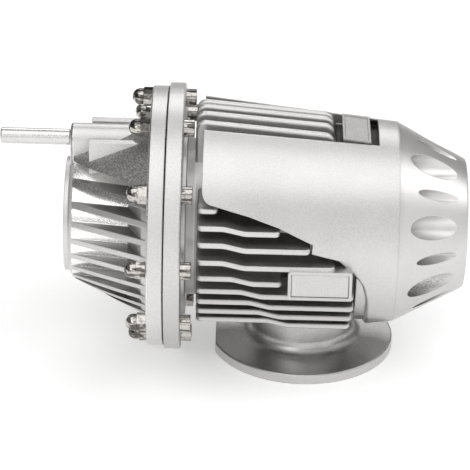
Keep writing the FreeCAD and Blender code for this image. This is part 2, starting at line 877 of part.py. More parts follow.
can = turned_part("cover_can", [
    (lip_left, 0),
    (cover_face, 0),
    (cover_face, cover_rim_radius),
    (cover_rim_back, cover_rim_radius),
    (cover_rim_back, cone_right_radius),
    (flare_right, flare_right_radius),
    (can_right, can_right_radius),
    (can_left, can_left_radius),
    (lip_left + lip_thickness, lip_radius),
    (lip_left, lip_radius),
])
soften(can, rim_edge_radius, circle_of(cover_rim_radius, cover_rim_back))
soften(can, joint_edge_radius, circle_of(cover_rim_radius, cover_face))
cone = turned_part("cover_cone", [
    (can_left, 0),
    (cover_rim_back, 0),
    (cover_rim_back, cone_right_radius),
    (can_left, can_left_radius),
])


def plate(name, left, right, low, high, thickness, aside=0):
    body = part_body(name)
    pad(body, outline(body, box_outline(left, right, low, high), "XZ", aside), thickness)
    return body


crown_cone = turned_part("cover_crown_cone", [
    (can_left, 0),
    (cover_rim_back, 0),
    (cover_rim_back, cone_right_radius),
    (can_left, crown_left_radius),
])
crown = shared("cover_crown", [
    crown_cone, plate("cover_crown_plate", can_left - 5, cover_rim_back + 1, crown_level, far, wide)])
cover_plates = [plate("cover_keel", can_left - 5, cover_rim_back + 1, -far, keel_level, wide)]
half_fin = cover_fin_thickness / 2
for number, level in enumerate(cover_fin_levels):
    cover_plates.append(plate(f"cover_fin_{number + 1}", can_left - 5, cover_rim_back + 1,
                              level - half_fin, level + half_fin, wide))
cover_fins = shared("cover_fins", [joined("cover_fin_plates", cover_plates), cone])
wall_aside = crown_wall_reach - crown_wall_thickness / 2
crown_walls = [plate(name, crown_wall_left, crown_wall_right, crown_wall_root, crown_wall_top,
                     crown_wall_thickness, aside)
               for name, aside in (("cover_wall_near", wall_aside), ("cover_wall_far", -wall_aside))]
boss = part_body("cover_boss")
boss_foot = box_outline(-boss_radius, boss_radius, crown_wall_root, boss_height)
pad(boss, outline(boss, boss_foot, "YZ", boss_left), boss_length, "One side")
pad(boss, ring(boss, 0, boss_height, boss_radius, "YZ", boss_left), boss_length, "One side")
soften(boss, boss_edge_radius, lambda edge: abs(edge.BoundBox.XMax - boss_left.value) < 0.01
       and edge.BoundBox.ZMax > crown_wall_root.value + 0.1)

spring_seat_outer = return_spring_radius - return_spring_wire - free_clearance
cover_end_face = lip_left + end_wall
cover_rooms = turned_part("cover_rooms", [
    (cover_face + 1, 0),
    (cover_face + 1, room_radius),
    (flare_right + cover_wall * 1.3, room_radius),
    (flare_right + cover_wall * 0.76, flare_right_radius - cover_wall * 0.76),
    (can_right + cover_wall * 0.62, can_right_radius - cover_wall),
    (cover_end_face, can_left_radius - cover_wall),
    (cover_end_face, spring_seat_outer),
    (cover_end_face + spring_seat_height, spring_seat_outer),
    (cover_end_face + spring_seat_height, spring_seat_outer - spring_seat_wall),
    (cover_end_face, spring_seat_outer - spring_seat_wall),
    (cover_end_face, 0),
])
nipple_hole = turned_part("cover_nipple_hole", [
    (boss_left - 1, 0),
    (nipple_right + passage_length, 0),
    (nipple_right + passage_length, nipple_bore_radius),
    (nipple_right, nipple_bore_radius),
    (nipple_right, nipple_end_radius + press_clearance),
    (boss_left - 1, nipple_end_radius + press_clearance),
])
bind(nipple_hole, "Placement.Base.z", boss_height)
passage = doc.addObject("Part::Cylinder", "cover_passage")
bind(passage, "Radius", passage_radius)
bind(passage, "Height", boss_height - spring_seat_outer)
bind(passage, "Placement.Base.x", nipple_right + passage_length / 2)
bind(passage, "Placement.Base.z", spring_seat_outer)
cover_drill = screw_hole_pins(
    "cover_screw_holes", cover_face - cover_rim_thickness / 2, cover_rim_thickness + 2)
cover_solid = joined("cover_solid", [can, crown, cover_fins, boss] + crown_walls)
cover_hollow = joined("cover_hollow", [cover_rooms, nipple_hole, passage, cover_drill])
placed(without("diaphragm_cover", cover_solid, cover_hollow), "diaphragm_cover")

nipple = turned_part("vacuum_nipple", [
    (nipple_left, nipple_bore_radius),
    (nipple_left, nipple_radius),
    (boss_left, nipple_radius),
    (boss_left, nipple_end_radius),
    (nipple_right, nipple_end_radius),
    (nipple_right, nipple_bore_radius),
])
soften(nipple, nipple_edge, circle_of(nipple_radius), "PartDesign::Chamfer")
placed(nipple, "vacuum_nipple")
bind(nipple, "Placement.Base.z", axis_height + boss_height)

# Screws and acorn nuts around the rim

screw_right = body_rim_back + screw_head_length
nut_left = cover_rim_back - nut_length
hex_left = cover_rim_back - nut_hex_length


def on_rim(body, label, number):
    across, up = screw_place(number)
    angle = 360 / screw_count * number + screw_turn * (number % 3)
    body.Placement = FreeCAD.Placement(V(0, 0, 0), FreeCAD.Rotation(V(1, 0, 0), angle))
    placed(body, label)
    bind(body, "Placement.Base.y", across)
    bind(body, "Placement.Base.z", axis_height + up)


def cap_screw(number):
    body = turned_part("cap_screw", [
        (body_rim_back - screw_length, 0),
        (screw_right, 0),
        (screw_right, screw_head_radius),
        (body_rim_back, screw_head_radius),
        (body_rim_back, screw_radius),
        (body_rim_back - screw_length, screw_radius),
    ])
    pocket(body, outline(body, hexagon(socket_flats), "YZ", screw_right), socket_depth * 2)
    soften(body, free_clearance, circle_of(screw_head_radius, screw_right))
    on_rim(body, f"cap_screw_{number + 1:02d}", number)


def acorn_nut(number):
    body = part_body("acorn_nut")
    pad(body, outline(body, hexagon(nut_flats), "YZ", cover_rim_back), nut_hex_length, "One side", True)
    beyond = nut_flats / 2 + 1
    turn_away(body, outline(body, [
        (hex_left, nut_flats / 2), (hex_left, beyond), (hex_left + nut_chamfer, beyond)]))
    turn(body, outline(body, box_outline(nut_left, hex_left + nut_chamfer / 2, 0, nut_dome_radius)))
    soften(body, nut_dome_radius - 0.05, circle_of(nut_dome_radius, nut_left))
    turn_away(body, outline(body, box_outline(
        cover_rim_back - nut_bore_depth, cover_rim_back + 1, 0, screw_radius + thread_clearance)))
    on_rim(body, f"acorn_nut_{number + 1:02d}", number)


for number in range(screw_count):
    cap_screw(number)
    acorn_nut(number)

# The diaphragm between the rims, its two plates, washer and nut

roll_wall = diaphragm_thickness + 0.05
stem_hole = stem_radius + stem_hole_clearance
sheet = turned_part("diaphragm_sheet", [
    (cover_face, stem_hole),
    (cover_face, roll_inner_radius),
    (cover_face - roll_height, roll_inner_radius + roll_slant),
    (cover_face - roll_height, roll_outer_radius - roll_slant),
    (cover_face, roll_outer_radius),
    (cover_face, diaphragm_radius),
    (rim_face, diaphragm_radius),
    (rim_face, roll_outer_radius - roll_wall),
    (rim_face - roll_height, roll_outer_radius - roll_slant - roll_wall),
    (rim_face - roll_height, roll_inner_radius + roll_slant + roll_wall),
    (rim_face, roll_inner_radius + roll_wall),
    (rim_face, stem_hole),
])
soften(sheet, roll_bend_radius, lambda edge: circle_of(roll_inner_radius + roll_slant)(edge)
       or circle_of(roll_outer_radius - roll_slant)(edge))
sheet_drill = screw_hole_pins(
    "diaphragm_screw_holes", rim_face - diaphragm_thickness / 2, diaphragm_thickness + 2)
placed(without("diaphragm", sheet, sheet_drill), "diaphragm")

placed(tube_part("diaphragm_plate_lower", rim_face, lower_plate_right, stem_hole, lower_plate_radius),
       "diaphragm_plate_lower")
placed(turned_part("diaphragm_plate_upper", [
    (cover_face, stem_hole),
    (cover_face, upper_plate_radius),
    (upper_plate_left, upper_plate_radius),
    (upper_plate_left, spring_seat_outer),
    (upper_plate_left - spring_seat_height, spring_seat_outer),
    (upper_plate_left - spring_seat_height, spring_seat_outer - spring_seat_wall),
    (upper_plate_left, spring_seat_outer - spring_seat_wall),
    (upper_plate_left, stem_hole),
]), "diaphragm_plate_upper")
washer_left = upper_plate_left - washer_thickness
placed(tube_part("shaft_washer", washer_left, upper_plate_left, stem_hole, washer_radius), "shaft_washer")
stem_nut("shaft_nut", washer_left - stem_nut_thickness)
spring("return_spring", cover_end_face, upper_plate_left, return_spring_radius, return_spring_wire,
       return_spring_turns)

# The shaft and its guide bush

shoulder_right = lower_plate_right + shoulder_thickness
placed(turned_part("valve_shaft", [
    (shaft_left, 0),
    (shaft_right, 0),
    (shaft_right, stem_radius),
    (primary_left, stem_radius),
    (primary_left, rod_radius),
    (shoulder_right, rod_radius),
    (shoulder_right, shoulder_radius),
    (lower_plate_right, shoulder_radius),
    (lower_plate_right, stem_radius),
    (shaft_left, stem_radius),
]), "valve_shaft")
rod_hole = rod_radius + running_clearance
bush = turned_part("guide_bush", [
    (bush_left, rod_hole),
    (bush_left, bush_flange_radius),
    (wall_left, bush_flange_radius),
    (wall_left, bush_radius),
    (bush_right, bush_radius),
    (bush_right, bush_relief_radius),
    (bush_relief_left, bush_relief_radius),
    (bush_relief_left, rod_hole),
])
turn_away(bush, outline(bush, box_outline(
    bush_left - 1, bush_left + bush_seal_length, rod_hole - 0.5, bush_seal_radius + running_clearance)))
turn_away(bush, outline(bush, box_outline(
    wall_right, wall_right + bush_clip_thickness, bush_radius - bush_clip_depth, bush_radius + 1)))
placed(bush, "guide_bush")
placed(tube_part("shaft_seal", bush_left + clip_room, bush_left + bush_seal_length - clip_room,
                 rod_radius + thread_clearance, bush_seal_radius), "shaft_seal")
snap_ring("bush_circlip", wall_right + clip_room, wall_right + bush_clip_thickness - clip_room,
          bush_radius - bush_clip_depth + clip_room, bush_radius + bush_clip_reach)

# The primary valve on the shaft's end

primary = tube_part("primary_valve", primary_left, secondary_left, stem_hole, primary_radius)
turn_away(primary, outline(primary, box_outline(
    secondary_left - seal_depth, secondary_left + 1,
    primary_seal_inner - clip_room, primary_seal_outer + clip_room)))
placed(primary, "primary_valve")
placed(tube_part("primary_valve_seal", secondary_left - seal_depth, secondary_left,
                 primary_seal_inner, primary_seal_outer), "primary_valve_seal")
stem_nut("primary_valve_nut", secondary_left)

# The secondary valve, which slides on the guide bush, and what the primary lifts it by

pickup_left = pickup_right - pickup_thickness
secondary = turned_part("secondary_valve", [
    (skirt_left, skirt_bore_radius),
    (skirt_left, skirt_radius),
    (secondary_left, skirt_radius),
    (secondary_left, secondary_radius),
    (seat_left, secondary_radius),
    (seat_left, secondary_hole_radius),
    (secondary_left, secondary_hole_radius),
    (secondary_left, skirt_bore_radius),
])
turn_away(secondary, outline(secondary, box_outline(
    seat_left - seal_depth, seat_left + 1,
    secondary_seal_inner - clip_room, secondary_seal_outer + clip_room)))
turn_away(secondary, outline(secondary, box_outline(
    pickup_left - pickup_clip_thickness - 2 * clip_room, pickup_left,
    skirt_bore_radius - 0.5, skirt_bore_radius + pickup_clip_depth)))
for plane in ("XZ", "XY"):
    pocket(secondary, outline(secondary, box_outline(
        skirt_window_left, skirt_window_right, -skirt_window_width / 2, skirt_window_width / 2), plane), wide)
placed(secondary, "secondary_valve")
placed(tube_part("secondary_valve_seal", seat_left - seal_depth, seat_left,
                 secondary_seal_inner, secondary_seal_outer), "secondary_valve_seal")
placed(tube_part("pickup_ring", pickup_left, pickup_right, pickup_inner_radius,
                 skirt_bore_radius - running_clearance), "pickup_ring")
snap_ring("pickup_circlip", pickup_left - pickup_clip_thickness - clip_room, pickup_left - clip_room,
          skirt_bore_radius - pickup_clip_reach, skirt_bore_radius + pickup_clip_depth - clip_room)
spring("sequence_spring", pickup_right, primary_left, sequence_spring_radius, sequence_spring_wire,
       sequence_spring_turns)

# The seat ring and the outlet

seat = tube_part("valve_seat_ring", seat_left, seat_right, seat_bore_radius, seat_radius)
seat_groove_left = seat_left + (seat_thickness - outlet_ring_width) / 2
seat_groove_right = seat_groove_left + outlet_ring_width
turn_away(seat, outline(seat, box_outline(
    seat_groove_left, seat_groove_right, seat_radius - outlet_ring_depth, seat_radius + 1)))
placed(seat, "valve_seat_ring")
placed(tube_part("seat_seal", seat_groove_left + clip_room, seat_groove_right - clip_room,
                 seat_radius - outlet_ring_depth + press_clearance, seat_radius + press_clearance),
       "seat_seal")

insert_right = insert_left + insert_length
lip_right = seat_right + outlet_lip_length
outlet = turned_part("outlet_cone", [
    (lip_right + outlet_lip_slope, outlet_room_radius),
    (lip_right, outlet_lip_radius),
    (seat_right, outlet_lip_radius),
    (seat_right, spigot_radius),
    (crease_place, spigot_radius),
    (crease_place, crease_radius),
    (knee_place, knee_radius),
    (outlet_end, outlet_end_radius),
    (outlet_end, mouth_radius),
    (mouth_left, mouth_radius),
    (outlet_room_right, outlet_room_radius),
])
turn_away(outlet, outline(outlet, box_outline(
    insert_right, insert_right + outlet_clip_thickness, mouth_radius - 1, mouth_radius + outlet_clip_depth)))
turn_away(outlet, outline(outlet, box_outline(
    outlet_ring_place, outlet_ring_place + outlet_ring_width, spigot_radius - outlet_ring_depth,
    spigot_radius + 1)))
soften(outlet, outlet_edge_radius, circle_of(outlet_end_radius, outlet_end))
half_scoop = math.radians(90 - 180 / scoop_count)
scoop = ring(outlet, scoop_circle * -math.cos(half_scoop), scoop_circle * math.sin(half_scoop),
             scoop_radius, "YZ", scoop_floor)
around(outlet, pocket(outlet, scoop, outlet_end - scoop_floor + 1, "One side", True), scoop_count)
slit = oval(outlet, 0, slit_circle, slit_half_width, slit_half_height, "YZ", slit_floor)
around(outlet, pocket(outlet, slit, outlet_end - slit_floor + 1, "One side", True), scoop_count)
placed(outlet, "outlet_cone")
placed(tube_part("outlet_seal", outlet_ring_place + clip_room,
                 outlet_ring_place + outlet_ring_width - clip_room,
                 spigot_radius - outlet_ring_depth + press_clearance, spigot_radius + press_clearance),
       "outlet_seal")

insert_radius = mouth_radius - running_clearance
insert = tube_part("outlet_insert", insert_left, insert_right, insert_radius - insert_wall, insert_radius)
turn(insert, outline(insert, box_outline(insert_left, insert_right, 0, insert_hub_radius)))
vane_reach = insert_radius - insert_wall / 2
vane = pad(insert, outline(insert, box_outline(
    -insert_vane_thickness / 2, insert_vane_thickness / 2, -vane_reach, vane_reach), "YZ", insert_left),
    insert_length, "One side")
around(insert, vane, 3)
placed(insert, "outlet_insert")
snap_ring("outlet_circlip", insert_right + clip_room, insert_right + outlet_clip_thickness - clip_room,
          mouth_radius - outlet_clip_reach, mouth_radius + outlet_clip_depth - clip_room)

# The ring in the foot and the blank plates

foot_ring = doc.addObject("Part::Torus", "inlet_o_ring")
placed(foot_ring, "inlet_o_ring")
bind(foot_ring, "Radius1", foot_ring_circle)
bind(foot_ring, "Radius2", foot_ring_radius)
bind(foot_ring, "Placement.Base.z", foot_ring_radius + clip_room)

plate_half = pad_half - pad_frame_width - plate_clearance
plate_rise = pad_rise - pad_frame_width - plate_clearance
plate_floor = pad_reach - pad_recess_depth
for label, floor, reverse in (("side_badge_plate_near", plate_floor, False),
                              ("side_badge_plate_far", -plate_floor, True)):
    body = part_body(label)
    pad(body, outline(body, box_outline(
        pad_place - plate_half, pad_place + plate_half, pad_level - plate_rise, pad_level + plate_rise),
        "XZ", floor), side_plate_thickness, "One side", reverse)
    placed(body, label)

top_plate = part_body("top_badge_plate")
pad(top_plate, outline(top_plate, [
    plate_top(top_plate_left, top_plate_thickness),
    plate_top(top_plate_right, top_plate_thickness),
    plate_top(top_plate_right, 0),
    plate_top(top_plate_left, 0),
]), top_plate_half_width * 2)
inner_left = top_plate_left + top_plate_frame
inner_right = top_plate_right - top_plate_frame
pocket(top_plate, outline(top_plate, [
    plate_top(inner_left, top_plate_dip),
    plate_top(inner_right, top_plate_dip),
    plate_top(inner_right, -1),
    plate_top(inner_left, -1),
]), (top_plate_half_width - top_plate_frame) * 2)
placed(top_plate, "top_badge_plate")

# Every object is checked before its file is written

doc.recompute()
for thing in doc.Objects:
    if any(word in thing.State for word in ("Invalid", "Error")):
        raise ValueError(f"{thing.Label} is {thing.State}")
for thing in made:
    if thing.Shape.isNull() or not thing.Shape.isValid():
        raise ValueError(f"{thing.Label} has no valid shape")
    thing.Shape.exportStep(f"parts/{thing.Label}.step")
print(f"{len(made)} parts written")
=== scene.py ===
import json
import math
import bmesh
import bpy
import numpy as np
from mathutils import Matrix, Vector


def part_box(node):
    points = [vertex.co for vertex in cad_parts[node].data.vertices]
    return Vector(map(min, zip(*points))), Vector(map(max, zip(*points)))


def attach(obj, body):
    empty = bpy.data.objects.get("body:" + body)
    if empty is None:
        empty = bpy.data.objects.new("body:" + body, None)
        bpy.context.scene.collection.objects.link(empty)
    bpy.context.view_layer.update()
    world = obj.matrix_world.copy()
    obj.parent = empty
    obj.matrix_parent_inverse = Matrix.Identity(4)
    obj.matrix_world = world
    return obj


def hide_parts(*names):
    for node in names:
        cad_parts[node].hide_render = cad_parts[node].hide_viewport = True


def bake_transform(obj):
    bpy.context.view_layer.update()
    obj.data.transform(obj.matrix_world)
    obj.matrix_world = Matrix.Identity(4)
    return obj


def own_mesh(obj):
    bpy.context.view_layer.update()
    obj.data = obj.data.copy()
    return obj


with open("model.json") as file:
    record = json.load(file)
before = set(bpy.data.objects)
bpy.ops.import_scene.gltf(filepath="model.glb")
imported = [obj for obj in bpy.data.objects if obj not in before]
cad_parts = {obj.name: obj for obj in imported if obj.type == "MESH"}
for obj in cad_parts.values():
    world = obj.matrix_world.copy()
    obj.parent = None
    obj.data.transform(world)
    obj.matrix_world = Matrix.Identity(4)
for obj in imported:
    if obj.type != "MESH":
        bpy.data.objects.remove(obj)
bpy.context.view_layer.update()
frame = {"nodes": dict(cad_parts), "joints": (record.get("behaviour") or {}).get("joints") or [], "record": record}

cad = frame["nodes"]
coneLow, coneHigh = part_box("outlet_cone")
axisHeight = round((coneLow[2] + coneHigh[2]) / 2.0, 4)  # metres, the main axis above the foot
print("frame loaded,", len(cad), "nodes")


# shader helpers: one material, and the few node calls that every finish below is made of

class Shade:

    def __init__(self, name):
        self.material = bpy.data.materials.new(name)
        self.material.use_nodes = True
        self.tree = self.material.node_tree
        self.shader = self.tree.nodes["Principled BSDF"]
        self.place = self.add("ShaderNodeTexCoord").outputs["Object"]

    def add(self, kind):
        return self.tree.nodes.new(kind)

    def feed(self, socket, value):
        if isinstance(value, bpy.types.NodeSocket):
            self.tree.links.new(value, socket)
        else:
            socket.default_value = value

    def calc(self, operation, first, second=0.0):
        node = self.add("ShaderNodeMath")
        node.operation = operation
        for socket, value in zip(node.inputs, (first, second)):
            self.feed(socket, value)
        return node.outputs[0]

    def product(self, first, *others):
        for other in others:
            first = self.calc("MULTIPLY", first, other)
        return first

    def step(self, value, low, high, start=0.0, end=1.0):
        # rises smoothly from start, where the value is low, to end, where it is high
        node = self.add("ShaderNodeMapRange")
        node.interpolation_type = "SMOOTHSTEP"
        amounts = {"Value": value, "From Min": low, "From Max": high, "To Min": start, "To Max": end}
        for name, amount in amounts.items():
            self.feed(node.inputs[name], amount)
        return node.outputs[0]

    def noise(self, scale, detail=3.0, rough=0.55, stretch=None):
        node = self.add("ShaderNodeTexNoise")
        place = self.place
        if stretch:
            mapping = self.add("ShaderNodeMapping")
            self.feed(mapping.inputs["Vector"], place)
            mapping.inputs["Scale"].default_value = stretch
            place = mapping.outputs[0]
        self.feed(node.inputs["Vector"], place)
        node.inputs["Scale"].default_value = scale
        node.inputs["Detail"].default_value = detail
        node.inputs["Roughness"].default_value = rough
        return node.outputs["Fac"]

    def parts(self):
        # x, y, z and the height above the main axis
        node = self.add("ShaderNodeSeparateXYZ")
        self.feed(node.inputs[0], self.place)
        x, y, z = node.outputs
        return x, y, z, self.calc("SUBTRACT", z, axisHeight)

    def reach(self, first, second):
        # the distance from an axis, from the two places across it
        squares = [self.calc("MULTIPLY", part, part) for part in (first, second)]
        return self.calc("SQRT", self.calc("ADD", *squares))

    def facing(self):
        node = self.add("ShaderNodeSeparateXYZ")
        self.feed(node.inputs[0], self.add("ShaderNodeNewGeometry").outputs["Normal"])
        return node.outputs

    def band(self, value, low, high, soft):
        # one between low and high, and nothing beyond them by more than soft
        rise = self.step(value, low - soft, low)
        return self.calc("MULTIPLY", rise, self.step(value, high, high + soft, 1.0, 0.0))

    def rings(self, radius, along, scale):
        # noise that only changes with the distance from an axis and the place along it
        node = self.add("ShaderNodeCombineXYZ")
        self.feed(node.inputs[0], radius)
        self.feed(node.inputs[1], along)
        noise = self.add("ShaderNodeTexNoise")
        self.feed(noise.inputs["Vector"], node.outputs[0])
        noise.inputs["Scale"].default_value = scale
        noise.inputs["Detail"].default_value = 2.0
        return noise.outputs["Fac"]

    def blendColor(self, amount, first, second):
        node = self.add("ShaderNodeMix")
        node.data_type = "RGBA"
        self.feed(node.inputs["Factor"], amount)
        for socket, color in zip((node.inputs[6], node.inputs[7]), (first, second)):
            self.feed(socket, color if isinstance(color, bpy.types.NodeSocket) else (*color, 1.0))
        return node.outputs[2]

    def bump(self, height, depth, normal=None):
        node = self.add("ShaderNodeBump")
        node.inputs["Distance"].default_value = depth
        self.feed(node.inputs["Height"], height)
        if normal:
            self.feed(node.inputs["Normal"], normal)
        return node.outputs[0]

    def roundEdges(self, radius):
        node = self.add("ShaderNodeBevel")
        node.samples = 6
        node.inputs["Radius"].default_value = radius
        return node.outputs[0]

    def set(self, name, value):
        self.feed(self.shader.inputs[name], value)


def dress(material, *names):
    for name in names:
        mesh = cad[name].data
        if len(mesh.materials) == 0:
            mesh.materials.append(material)
        for i in range(len(mesh.materials)):
            mesh.materials[i] = material


# bead blasted cast aluminium; places are in metres along the main axis, out from it, or above it

metalLook = {
    "wave": (0.3, 0.7),
    "speckle": (0.38, 0.64),
    "smoother": 0.05,
    "rougher": 0.07,
}
castLook = {
    "light": (0.71, 0.702, 0.694),
    "dull": (0.66, 0.653, 0.646),
    "spark": (0.88, 0.87, 0.86),
    # the colour, strength and height of the painted shade on the lower half
    "dust": (0.36, 0.355, 0.35),
    "lowerShadeAmount": 0.40,
    "lowerShadeUp": (-0.020, 0.013),
    "roughness": 0.43,
    "grainScale": 3000.0,  # per metre, a grain of about a third of a millimetre
    "grainDepth": 0.000042,
    "fleck": 0.5,
    "blotchScale": 55.0,
    "edge": 0.0005,
}
bodyLook = {
    # the painted shade deep between the fins: its colour and its reach along, out, top and bottom
    "root": (0.42, 0.41, 0.40),
    "rootAlong": (-0.0342, 0.0150),
    "rootOut": (0.0310, 0.0343),
    "rootTop": (0.0170, 0.0205),
    "rootBottom": (-0.0262, -0.0247),
    "rootSoft": 0.0005,
    "rootLean": 0.15,
    "leanFrom": 0.002,
    # the painted shade on the collar between the rim and the shield
    "collarShade": (0.50, 0.495, 0.49),
    "collarAlong": (-0.0383, -0.0350),
    "collarOut": (0.0308, 0.0312),
    "collarSoft": 0.0003,
    "collarAmount": 0.6,
    # the painted shade in the gap round the top plate
    "slot": (0.05, 0.049, 0.048),
    "slotAlong": (0.0086, 0.0216),
    "slotSide": (-0.0102, 0.0102),
    "slotTop": (0.0298, 0.0304),
    "slotUp": (0.0270, 0.0400),
    "slotSoft": 0.0002,
    "footUp": (0.0205, 0.0215),
    "footOut": (0.0330, 0.0335),
    "footRoughness": 0.32,
    "ringScale": 1300.0,
    "ringDepth": 0.000009,
}
coverLook = {
    # a slope is how far a face looks towards the cover's end, from 0 to 1
    "machined": (0.96, 0.95, 0.94),
    "machinedSlope": (0.06, 0.22),
    "machinedSoft": 0.03,
    "machinedSide": (0.1, 0.3),
    "machinedPolish": 0.20,
    # a painted shadow on the ribs' flat sides below the crown
    "ribSideShade": (0.36, 0.355, 0.35),
    "ribSideFlat": (0.97, 0.995),
    "ribSideUp": (0.0175, 0.0180),
    "ribSideAmount": 0.8,
    # the flare's and crown's coarse dark colour: partly the cast skin and partly painted shade, full on the crown
    # and weaker below it
    "skinAndShade": (0.50, 0.495, 0.49),
    "darkSkinAndShade": (0.27, 0.267, 0.264),
    "skinSlope": (0.24, 0.62),
    "skinSoft": 0.08,
    "skinShadeUp": (0.0125, 0.0175),
    "skinShadeLeast": 0.2,
    "skinScale": 1700.0,
    "skinSpots": (0.42, 0.62),
    "skinDepth": 0.00012,
}


def shadedBelow(shade, color, up):
    # painted shade: the lower half is a little darker
    amount = shade.step(up, *castLook["lowerShadeUp"], castLook["lowerShadeAmount"], 0.0)
    return shade.blendColor(amount, color, castLook["dust"])


def bodyFinish(shade, color, roughness, normal):
    # painted shade: darker on the lower half, dark between the fins' roots, on the collar and in the gap round the
    # top plate; and the turned foot
    look = bodyLook
    x, y, z, up = shade.parts()
    out = shade.reach(y, up)
    color = shadedBelow(shade, color, up)
    past = shade.calc("MAXIMUM", shade.calc("SUBTRACT", x, look["leanFrom"]), 0.0)
    leaning = shade.calc("ADD", out, shade.product(past, look["rootLean"]))
    # painted shade between the fins
    root = shade.product(
        shade.step(leaning, *look["rootOut"], 1.0, 0.0), shade.step(up, *look["rootTop"], 1.0, 0.0),
        shade.step(up, *look["rootBottom"]), shade.band(x, *look["rootAlong"], look["rootSoft"]))
    color = shade.blendColor(root, color, look["root"])
    # painted shade on the collar
    collarShade = shade.product(
        shade.band(x, *look["collarAlong"], look["collarSoft"]),
        shade.step(out, *look["collarOut"], look["collarAmount"], 0.0))
    color = shade.blendColor(collarShade, color, look["collarShade"])
    # painted shade in the gap round the top plate
    slot = shade.product(
        shade.band(x, *look["slotAlong"], look["slotSoft"]), shade.step(up, *look["slotTop"], 1.0, 0.0),
        shade.band(up, *look["slotUp"], look["rootSoft"]), shade.band(y, *look["slotSide"], look["slotSoft"]))
    color = shade.blendColor(slot, color, look["slot"])
    fromInlet = shade.reach(x, y)
    rings = shade.rings(fromInlet, z, look["ringScale"])
    turned = shade.product(
        shade.step(z, *look["footUp"], 1.0, 0.0), shade.step(fromInlet, *look["footOut"], 1.0, 0.0))
    change = shade.product(turned, look["footRoughness"] - castLook["roughness"])
    roughness = shade.calc("ADD", roughness, change)
    return color, roughness, shade.bump(shade.product(rings, turned), look["ringDepth"], normal)


def coverFinish(shade, color, roughness, normal):
    # a bright machined can between rib sides darkened with a painted shadow, and a coarse dark skin on the flare
    # and the crown, partly the cast skin and partly painted shade, strongest on the crown
    look = coverLook
    up = shade.parts()[3]
    nx, ny, nz = shade.facing()
    slope = shade.product(nx, -1.0)
    machined = shade.product(
        shade.band(slope, *look["machinedSlope"], look["machinedSoft"]),
        shade.step(shade.calc("ABSOLUTE", ny), *look["machinedSide"]))
    color = shade.blendColor(machined, color, look["machined"])
    roughness = shade.calc("SUBTRACT", roughness, shade.product(machined, look["machinedPolish"]))
    # painted shadow on the ribs' flat sides
    ribSideShade = shade.product(
        shade.step(shade.calc("ABSOLUTE", nz), *look["ribSideFlat"]),
        shade.step(up, *look["ribSideUp"], 1.0, 0.0), look["ribSideAmount"])
    color = shade.blendColor(ribSideShade, color, look["ribSideShade"])
    coarse = shade.noise(look["skinScale"], 3.0, 0.7)
    skinAndShade = shade.blendColor(shade.step(coarse, *look["skinSpots"]), look["darkSkinAndShade"], look["skinAndShade"])
    # a coarse dark colour, partly the cast skin and partly painted shade, at full strength on the crown
    flare = shade.product(
        shade.band(slope, *look["skinSlope"], look["skinSoft"]),
        shade.step(up, *look["skinShadeUp"], look["skinShadeLeast"], 1.0))
    color = shade.blendColor(flare, color, skinAndShade)
    return color, roughness, shade.bump(shade.product(coarse, flare), look["skinDepth"], normal)


def castMetal(name, finish):
    shade = Shade(name)
    look = castLook
    grain = shade.noise(look["grainScale"], 2.0, 0.6)
    blotch = shade.noise(look["blotchScale"], 3.0, 0.5)
    color = shade.blendColor(shade.step(blotch, *metalLook["wave"]), look["dull"], look["light"])
    fleck = shade.product(shade.step(grain, *metalLook["speckle"]), look["fleck"])
    color = shade.blendColor(fleck, color, look["spark"])
    smoothest, roughest = look["roughness"] - metalLook["smoother"], look["roughness"] + metalLook["rougher"]
    roughness = shade.step(grain, *metalLook["wave"], smoothest, roughest)
    normal = shade.bump(grain, look["grainDepth"], shade.roundEdges(look["edge"]))
    color, roughness, normal = finish(shade, color, roughness, normal)
    shade.set("Base Color", color)
    shade.set("Metallic", 1.0)
    shade.set("Roughness", roughness)
    shade.set("Normal", normal)
    return shade.material


dress(castMetal("castBody", bodyFinish), "valve_body")
dress(castMetal("castCover", coverFinish), "diaphragm_cover")
print("castings dressed")

# turned aluminium: the outlet cone, nipple, plates and the valves inside

turnedLook = {
    "light": (0.71, 0.703, 0.696),
    "dullShare": 0.94,
    "blotchScale": 140.0,
    "grainScale": 2300.0,
    "fleck": 0.3,
    "lineScale": 5200.0,
    "lineStretch": (1.0, 0.02, 0.02),
    "lineDepth": 0.000006,
    "edge": 0.0003,
}
coneLook = {
    # the cone's outside starts at startRadius and narrows by slope for each metre past startAlong
    "startAlong": 0.028,
    "startRadius": 0.0315,
    "slope": 0.5153,
    # the painted highlight on the cone's upper half: its height, its start along the cone and its strength
    "highlightUp": (0.002, 0.018),
    "highlightAlong": (0.027, 0.030),
    "highlightAmount": 0.8,
    # the dark floor of the lower scoops: partly rough chip marks, partly painted shade in the recess
    "pitAndShade": (0.20, 0.198, 0.196),
    "pitScale": 2400.0,
    "pitSpots": (0.36, 0.64),
    "pitShadeDepth": (0.0014, 0.0050),
    "pitShadeSoft": 0.0006,
    "pitShadeOut": (0.0176, 0.0182),
    "pitShadeAlong": (0.0275, 0.0285),
    "pitShadeUp": (-0.004, -0.014),
    "pitShadeAmount": 0.8,
}


